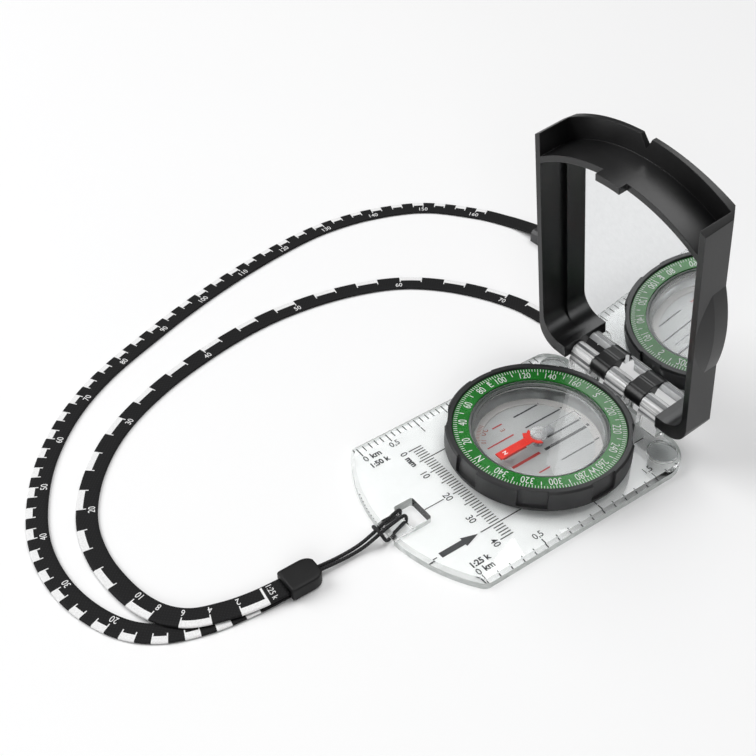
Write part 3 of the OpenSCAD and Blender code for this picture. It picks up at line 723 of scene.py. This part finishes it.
def print_plate():
    p = Print()
    z0, z1 = PLATE_INK_Z
    here = flat_at(0, 0)
    for mm in range(41):
        x, end = mm - 20, MM_SHORT_Y if mm % 5 else MM_LONG_Y
        p.bar(x - MM_TICK, x + MM_TICK, end, MM_EDGE_Y, here, z0, z1)
    for mm in (0, 10, 20, 30, 40):
        p.text(str(mm), 2.2, flat_at(mm - 20, -24.4), z0, z1, 0.9, 0.006)
    p.text("mm", 1.45, flat_at(-16.4, -24.7), z0, z1, 0.95, 0.04)
    # centre line and the two guide lines
    p.bar(-0.14, 0.14, -32.9, -25.9, here, z0, z1)
    for x, y0, y1 in (
        (-GUIDE_X, MM_EDGE_Y, -13), (GUIDE_X, -25.3, MM_LONG_Y), (GUIDE_X, MM_EDGE_Y, 34),
        (GUIDE_X, -42, -39.7),
    ):
        p.bar(x - GUIDE, x + GUIDE, y0, y1, here, z0, z1)
    p.shape(ARROW, ARROW_FACES, here, z0, z1)
    # 1:50 000 along the left edge, 1:25 000 along the right one
    for k in range(34):
        y, end = MAP_START_Y + 2 * k, -27.4 if k % 5 else -26.3
        p.bar(-29.6, end, y - MAP_TICK, y + MAP_TICK, here, z0, z1)
    for k in range(18):
        y, end = MAP_START_Y + 4 * k, 27.3 if k % 5 else 26.2
        p.bar(end, 28.4, y - MAP_TICK, y + MAP_TICK, here, z0, z1)
    for words, x, y, size, weight in MAP_WORDS:
        p.text(words, size, flat_at(x, y, 90), z0, z1, 0.95, weight)
    # fine marks along the curved front edge, straight ones and then slanting ones
    for i in range(9):
        x = -15 + 1.3 * i
        y = front_edge_y(x, 46.8)
        p.bar(x - 0.22, x + 0.22, y - 0.2, y + 0.2, here, z0, z1)
    for i in range(9):
        x = 18.5 + 1.05 * i
        p.bar(-0.75, 0.75, -0.12, 0.12, flat_at(x, front_edge_y(x, 47), 52), z0, z1)
    p.piece("plate_scales", PLATE_INK, "base")


print_plate()

# ---------- printing on the dial ----------

DIAL_Y = 7.5
COMPASS_POINTS = {0: "N", 90: "E", 180: "S", 270: "W"}
RIM_R, FINE_R, TEN_R = 23.9, 22.85, 22.7    # fine ticks and those at the tens run out to the rim
BETWEEN_R = (21.3, 22.5)                    # thicker ticks between the figures
FIGURE_R, LETTER_R = 21.3, 21.4
FLOOR_R = 15.8                              # the floor inside the declination scale
DECLINATION_R, DECLINATION_TEN_R, DECLINATION_RIM_R = 16.2, 15.95, 17.3


def dial_text_at(angle, r=0):
    """N lies towards -Y; degrees run clockwise seen from above; tops point outward."""
    a = math.radians(angle)
    out = (-math.sin(a), -math.cos(a))
    return flat_at(r * out[0], DIAL_Y + r * out[1], math.degrees(math.atan2(-out[0], out[1])))


def print_dial():
    """Degrees on the green scale."""
    p, (z0, z1) = Print(), ink_on("graduation_ring")
    for d in range(0, 360, 2):
        p.bar(-0.09, 0.09, FINE_R if d % 10 else TEN_R, RIM_R, dial_text_at(d), z0, z1)
    for d in range(10, 360, 20):
        p.bar(-0.13, 0.13, *BETWEEN_R, dial_text_at(d), z0, z1)
    for d in range(0, 360, 20):
        if d not in COMPASS_POINTS:
            p.text(str(d), 2.4, dial_text_at(d, FIGURE_R), z0, z1, 0.72, -0.003)
    for d, word in COMPASS_POINTS.items():
        p.text(word, 2.35, dial_text_at(d, LETTER_R), z0, z1, 0.8)
    p.piece("dial_numerals", WHITE_INK, "dial")


def print_floor():
    """Orienting lines: black ones that may run out over the declination scale, and red ones."""
    z0, z1 = ink_on("orienting_disc")
    black, red = Print(), Print()
    here = flat_at(0, DIAL_Y)
    for x, half, y0, y1 in (
        (2.95, 0.45, 0.1, 16.4), (-0.25, 0.3, 0.1, 16.2), (8.6, 0.22, 1.2, 15.1),
        (-6.7, 0.24, 1.4, 14.9), (-11.95, 0.24, 1.4, 10.6),
    ):
        edge = math.sqrt(FLOOR_R ** 2 - x * x) - 0.1
        black.bar(x - half, x + half, y0, min(y1, edge), here, z0, z1)
        if y1 > edge:
            black.bar(x - half, x + half, edge + 0.15, y1, here, *ink_on("declination_ring"))
    for x, half, y0, y1 in (
        (2.95, 0.45, -11.6, -1.8), (-1.05, 0.4, -11.6, -1.8), (8.6, 0.22, -6.9, -3.1),
        (-6.7, 0.24, -12.4, -3.0), (-11.95, 0.24, -6.4, -3.0),
    ):
        red.bar(x - half, x + half, y0, y1, here, z0, z1)
    black.piece("floor_lines_black", BLACK_INK, "dial")
    red.piece("floor_lines_red", RED_INK, "dial")


def print_declination():
    """Marks round the north side of the capsule, and the few figures inside them."""
    p, (z0, z1) = Print(), ink_on("declination_ring")
    for d in range(-60, 61, 2):
        start = DECLINATION_R if d % 10 else DECLINATION_TEN_R
        p.bar(-0.08, 0.08, start, DECLINATION_RIM_R, dial_text_at(d), z0, z1)
    for words, x, y, size, turn in (
        ("20", -12.6, -9.2, 2.3, -60), ("10", -9.4, -11.6, 1.4, -40), ("E", -9.9, -4.4, 1.5, 180),
    ):
        p.text(words, size, flat_at(x, DIAL_Y + y, turn), *ink_on("orienting_disc"))
    p.piece("declination_marks", RUST_INK, "dial")


def print_needle():
    """An N near the tip of the red half."""
    p, tip_y = Print(), (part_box("needle_north")[0] / MM).y
    p.text("N", 1.3, flat_at(0, tip_y + 2.4, 180), *ink_on("needle_north"), 0.9, 0.02)
    p.piece("needle_mark", WHITE_INK, "needle")


print_dial()
print_floor()
print_declination()
print_needle()

# ---------- clear feet and hinge pin ----------

FOOT_EASE_R, FOOT_EASE_H, PIN_EASE_R = 0.12, 0.08, 0.03     # clear of the holes they sit in
INNER_RING_R = 0.6                                          # flat middles of a pad's two ends


def turned(name, profile, centre, axis, material, body, sides=48):
    """Solid of revolution: profile is (along, radius) points from end to end."""
    verts, faces = [], []
    for a, r in profile:
        for k in range(sides):
            t = 2 * math.pi * k / sides
            u, v = r * math.cos(t), r * math.sin(t)
            verts.append((centre[0] + a, centre[1] + u, centre[2] + v) if axis == "X"
                         else (centre[0] + u, centre[1] + v, centre[2] + a))
    for i in range(len(profile) - 1):
        for k in range(sides):
            a, b = i * sides + k, i * sides + (k + 1) % sides
            faces.append([a, b, b + sides, a + sides])
    faces.append(list(range(sides - 1, -1, -1)))
    faces.append([(len(profile) - 1) * sides + k for k in range(sides)])
    return new_piece(name, verts, faces, material, body, True)


def make_feet():
    """Soft pads with rounded rims and a shallow dish on top."""
    for side in ("left", "right"):
        lo, hi = (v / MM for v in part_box("foot_" + side))
        r, h = (hi.x - lo.x) / 2 - FOOT_EASE_R, hi.z - lo.z - FOOT_EASE_H
        profile = [
            (0, INNER_RING_R), (0, r - 0.9), (0, r - 0.25), (0.08, r - 0.06), (0.3, r), (h - 0.3, r),
            (h - 0.08, r - 0.1), (h, r - 0.4), (h, r - 1.2), (h - 0.25, r - 1.5), (h - 0.25, INNER_RING_R),
        ]
        o = turned("foot_pad_" + side, profile, ((lo.x + hi.x) / 2, (lo.y + hi.y) / 2, 0), "Z",
                   MATERIALS["clear_rubber"], "base")
        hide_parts("foot_" + side)


def make_pin():
    """Plain rod with eased ends."""
    lo, hi = (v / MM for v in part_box("hinge_pin"))
    r, n = (hi.z - lo.z) / 2 - PIN_EASE_R, (hi.x - lo.x) / 2
    ending = [(n - 0.35, r), (n - 0.1, r - 0.1), (n, r - 0.3)]
    profile = [(-a, b) for a, b in reversed(ending)] + [(0, r)] + ending
    o = turned("hinge_pin_rod", profile, (0, (lo.y + hi.y) / 2, (lo.z + hi.z) / 2), "X",
               MATERIALS["steel"], "base")
    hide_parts("hinge_pin")


make_feet()
make_pin()

# ---------- the ribbons' printing ---

outer_print = outer.print.piece("ribbon_outer_print", RIBBON_INK, "base")
inner_print = inner.print.piece("ribbon_inner_print", RIBBON_INK, "base")


# ---------- floor and light ----------

FLOOR_HALF, FLOOR_Z = 6.0, -0.00004     # a hair below the feet, so that no faces coincide
WORLD_STRENGTH = 0.14
LAMPS = (       # name, place, aim, size, watts
    ("key", (-0.75, -0.65, 0.85), (0, 0, 0), (0.9, 0.9), 10),
    ("top", (-0.1, 0.4, 1.25), (0, 0, 0), (1.0, 1.0), 9.5),
    ("side", (0.75, -0.75, 0.5), (0, 0, 0.03), (0.7, 0.5), 3.6),
)


def make_floor():
    mesh = bpy.data.meshes.new("floor")
    corners = [(x * FLOOR_HALF, y * FLOOR_HALF, 0) for x, y in ((-1, -1), (1, -1), (1, 1), (-1, 1))]
    mesh.from_pydata(corners, [], [[0, 1, 2, 3]])
    o = bpy.data.objects.new("floor", mesh)
    o.location.z = FLOOR_Z
    bpy.context.scene.collection.objects.link(o)
    s = Shader("pale_floor", Roughness=0.6, Specular_IOR_Level=0.2)
    s.colour(s.tint(s.noise(3, 2), (0.93, 0.93, 0.935), (0.95, 0.95, 0.95)))
    mesh.materials.append(s.mat)


def lamp(name, place, aim, size, watts):
    data = bpy.data.lights.new(name, "AREA")
    data.shape, data.size, data.size_y, data.energy = "RECTANGLE", size[0], size[1], watts
    o = bpy.data.objects.new(name, data)
    bpy.context.scene.collection.objects.link(o)
    o.location = place
    o.rotation_mode = "QUATERNION"
    o.rotation_quaternion = (Vector(aim) - Vector(place)).to_track_quat("-Z", "Y")


def make_light():
    world = bpy.data.worlds.new("studio")
    world.use_nodes = True
    world.node_tree.nodes["Background"].inputs["Color"].default_value = (1, 1, 1, 1)
    world.node_tree.nodes["Background"].inputs["Strength"].default_value = WORLD_STRENGTH
    bpy.context.scene.world = world
    for settings in LAMPS:
        lamp(*settings)
    bpy.context.scene.view_settings.view_transform = "Standard"


make_floor()
make_light()
